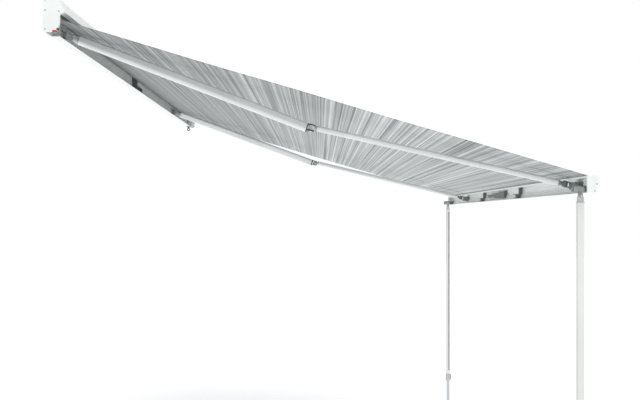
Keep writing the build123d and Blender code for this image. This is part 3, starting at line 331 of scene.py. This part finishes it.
def dress_nodes():
    """Every CAD node gets the finish that its record names, or a shade of it."""
    for part in frame["record"]["subparts"]:
        node = frame["nodes"][part["node"]]
        node.data.materials.clear()
        node.data.materials.append(SHADES.get(part["node"], FINISHES[part["material_slot"]]))
        for face in node.data.polygons:
            face.material_index = 0


dress_nodes()


# Soft and small pieces
def piece(name, points, faces, finish, body, smooth=True, uvs=None):
    """A mesh piece that rides on a body and takes a slot's finish."""
    mesh = bpy.data.meshes.new(name)
    mesh.from_pydata([tuple(point) for point in points], [], faces)
    mesh.update()
    if uvs:
        layer = mesh.uv_layers.new(name="UVMap")
        for loop in mesh.loops:
            layer.data[loop.index].uv = uvs[loop.vertex_index]
    for face in mesh.polygons:
        face.use_smooth = smooth
    thing = bpy.data.objects.new(name, mesh)
    scene.collection.objects.link(thing)
    mesh.materials.append(FINISHES[finish])
    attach(thing, body)
    return thing


def across(column, columns):
    """The place along the case of a column of the cloth's grid."""
    return CLOTH_LEFT + (CLOTH_RIGHT - CLOTH_LEFT) * column / (columns - 1)


def grid_faces(columns, rows):
    return [
        (row * columns + column, row * columns + column + 1,
         (row + 1) * columns + column + 1, (row + 1) * columns + column)
        for row in range(rows - 1) for column in range(columns - 1)
    ]


def canopy_point(x, share):
    """A point of the cloth: a slight sag along the run, ripples and a flutter of the free edges."""
    out = CLOTH_START[0] + (CLOTH_END[0] - CLOTH_START[0]) * share
    z = CLOTH_START[1] + (CLOTH_END[1] - CLOTH_START[1]) * share
    free = sin(pi * share)
    edge = min(x - CLOTH_LEFT, CLOTH_RIGHT - x)
    loose = max(0.0, 1 - edge / LOOSE_EDGE)
    ripple = noise.noise(Vector((x * 1.7, share * 5.0, 3.1))) * RIPPLE
    flutter = sin(share * 19.0 + x * 2.0) * FLUTTER * loose
    return spot(x, out, z - free * (SAG + ripple + flutter))


def make_canopy():
    columns, rows = 161, 121
    points, uvs = [], []
    for row in range(rows):
        share = row / (rows - 1)
        for column in range(columns):
            x = across(column, columns)
            points.append(canopy_point(x, share))
            uvs.append((x, share * CLOTH_RUN))
    cloth = piece("canopy_cloth", points, grid_faces(columns, rows), "cloth", "case", uvs=uvs)
    thick = cloth.modifiers.new("thickness", "SOLIDIFY")
    thick.thickness = CLOTH_THICK
    thick.offset = 0.0
    return cloth


def make_hem():
    """The cloth's edge, led down into the lead bar's groove and once round a cord."""
    steps, columns = 16, 41
    outline = [(-0.014, 0.0046), (0.0, CLOTH_THICK)]
    for step in range(steps + 1):
        angle = pi / 2 - 2 * pi * step / steps
        outline.append((CORD_R * cos(angle), CORD_DROP + CORD_R * sin(angle)))
    points, uvs = [], []
    for along, rise in outline:
        for column in range(columns):
            x = across(column, columns)
            points.append(spot(x, CLOTH_END[0] + along, CLOTH_END[1] + rise))
            uvs.append((x, CLOTH_RUN + along + rise))
    return piece(
        "canopy_hem", points, grid_faces(columns, len(outline)), "cloth", "lead_bar", uvs=uvs
    )


def make_cloth_roll():
    """The rest of the cloth, wound on the roller tube."""
    steps, columns = 48, 9
    last = ROLL_TURNS * steps
    points, uvs = [], []
    run = 0.0
    for step in range(last + 1):
        angle = 2 * pi * step / steps
        radius = TUBE_R + GAP_IN + (ROLL_R - TUBE_R - GAP_BOTH) * step / last
        run += 2 * pi * radius / steps
        for column in range(columns):
            x = across(column, columns)
            points.append(spot(x, ROLLER[0] + radius * cos(angle), ROLLER[1] + radius * sin(angle)))
            uvs.append((x, -run))
    faces = grid_faces(columns, last + 1)
    return piece("cloth_roll", points, faces, "cloth", "roller", uvs=uvs), run


def make_plug(name, side):
    """A black rubber stop let into the lower front edge of a case cap."""
    steps = 28
    rings = [
        (PLUG_BACK, PLUG_R - PLUG_EDGE), (PLUG_BACK - PLUG_EDGE, PLUG_R),
        (PLUG_FRONT + PLUG_EDGE, PLUG_R), (PLUG_FRONT, PLUG_R - PLUG_EDGE),
    ]
    points = [
        spot(side * (HALF - inset), PLUG[0] + radius * cos(2 * pi * step / steps),
             PLUG[1] + radius * sin(2 * pi * step / steps))
        for inset, radius in rings for step in range(steps)
    ]
    faces = [
        (row * steps + step, row * steps + (step + 1) % steps,
         (row + 1) * steps + (step + 1) % steps, (row + 1) * steps + step)
        for row in range(len(rings) - 1) for step in range(steps)
    ]
    faces += [tuple(range(steps - 1, -1, -1)), tuple(range(len(points) - steps, len(points)))]
    if side > 0:
        faces = [face[::-1] for face in faces]
    return piece(name, points, faces, "dark_plastic", "case", smooth=False)


def make_leg_strip(name, side, body):
    """A grey strip of painted shade along the outer half of a leg tube's inner face, where that
    face is dark.
    """
    x_low, x_high = sorted(side * x for x in STRIP_X)
    y_low, y_high = -STRIP_OUT[1], -STRIP_OUT[0]
    ring = [(x_low, y_low), (x_high, y_low), (x_high, y_high), (x_low, y_high)]
    points = [(x, y, z) for z in STRIP_Z for x, y in ring]
    faces = [(3, 2, 1, 0), (4, 5, 6, 7)]
    faces += [(step, (step + 1) % 4, 4 + (step + 1) % 4, 4 + step) for step in range(4)]
    strip = piece(name, points, faces, "grey_plastic", body, smooth=False)
    # The strip takes the painted shade's grey in place of its slot's finish
    strip.data.materials[0] = LEG_SHADE_GREY
    return strip


make_leg_strip("left_leg_strip", -1, "left_leg")
make_leg_strip("right_leg_strip", 1, "right_leg")
make_plug("left_cap_plug", -1)
make_plug("right_cap_plug", 1)
canopy = make_canopy()
hem = make_hem()
cloth_roll, rolled = make_cloth_roll()
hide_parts("canopy")
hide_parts("fabric_roll")

# The lead bar's travel in the fold and the part of it along the canopy's run; the canopy gets a
# mesh of its own
travel = hypot(*LEAD_TRAVEL)
along = (CLOTH_END[0] - CLOTH_START[0]) * LEAD_TRAVEL[0] / travel
along += (CLOTH_END[1] - CLOTH_START[1]) * LEAD_TRAVEL[1] / travel
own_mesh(canopy)


# Floor, light and background
def make_world():
    """A soft sky for the object, and plain white where the camera or a gloss looks past it."""
    world = bpy.data.worlds.new("world")
    scene.world = world
    world.use_nodes = True
    nodes, links = world.node_tree.nodes, world.node_tree.links
    nodes.clear()
    path = nodes.new("ShaderNodeLightPath")
    seen = path.outputs["Is Camera Ray"]
    for name in ("Is Glossy Ray", "Is Transmission Ray"):
        either = nodes.new("ShaderNodeMath")
        either.operation = "MAXIMUM"
        links.new(seen, either.inputs[0])
        links.new(path.outputs[name], either.inputs[1])
        seen = either.outputs["Value"]
    soft = nodes.new("ShaderNodeBackground")
    soft.inputs["Color"].default_value = SKY
    soft.inputs["Strength"].default_value = SKY_STRENGTH
    white = nodes.new("ShaderNodeBackground")
    white.inputs["Color"].default_value = (1, 1, 1, 1)
    white.inputs["Strength"].default_value = 1.0
    mix = nodes.new("ShaderNodeMixShader")
    links.new(seen, mix.inputs["Fac"])
    links.new(soft.outputs["Background"], mix.inputs[1])
    links.new(white.outputs["Background"], mix.inputs[2])
    output = nodes.new("ShaderNodeOutputWorld")
    links.new(mix.outputs["Shader"], output.inputs["Surface"])


def make_floor():
    """A pale floor with a faint glow, which also lights the undersides."""
    mesh = bpy.data.meshes.new("floor")
    corners = [
        (x * FLOOR_SIZE, y * FLOOR_SIZE, GROUND) for x, y in ((-1, -1), (1, -1), (1, 1), (-1, 1))
    ]
    mesh.from_pydata(corners, [], [(0, 1, 2, 3)])
    floor = bpy.data.objects.new("floor", mesh)
    scene.collection.objects.link(floor)
    material = bpy.data.materials.new("floor")
    material.use_nodes = True
    nodes, links = material.node_tree.nodes, material.node_tree.links
    shader = nodes["Principled BSDF"]
    shader.inputs["Base Color"].default_value = FLOOR_TONE
    shader.inputs["Roughness"].default_value = 0.9
    glow = nodes.new("ShaderNodeEmission")
    glow.inputs["Strength"].default_value = FLOOR_GLOW
    both = nodes.new("ShaderNodeAddShader")
    links.new(shader.outputs["BSDF"], both.inputs[0])
    links.new(glow.outputs["Emission"], both.inputs[1])
    links.new(both.outputs["Shader"], nodes["Material Output"].inputs["Surface"])
    mesh.materials.append(material)


def make_sun(name, direction, strength, angle):
    data = bpy.data.lights.new(name, "SUN")
    data.energy = strength
    data.angle = radians(angle)
    lamp = bpy.data.objects.new(name, data)
    lamp.rotation_euler = Vector(direction).to_track_quat("-Z", "Y").to_euler()
    scene.collection.objects.link(lamp)


make_world()
make_floor()
for sun in SUNS:
    make_sun(*sun)
scene.view_settings.view_transform = "Standard"
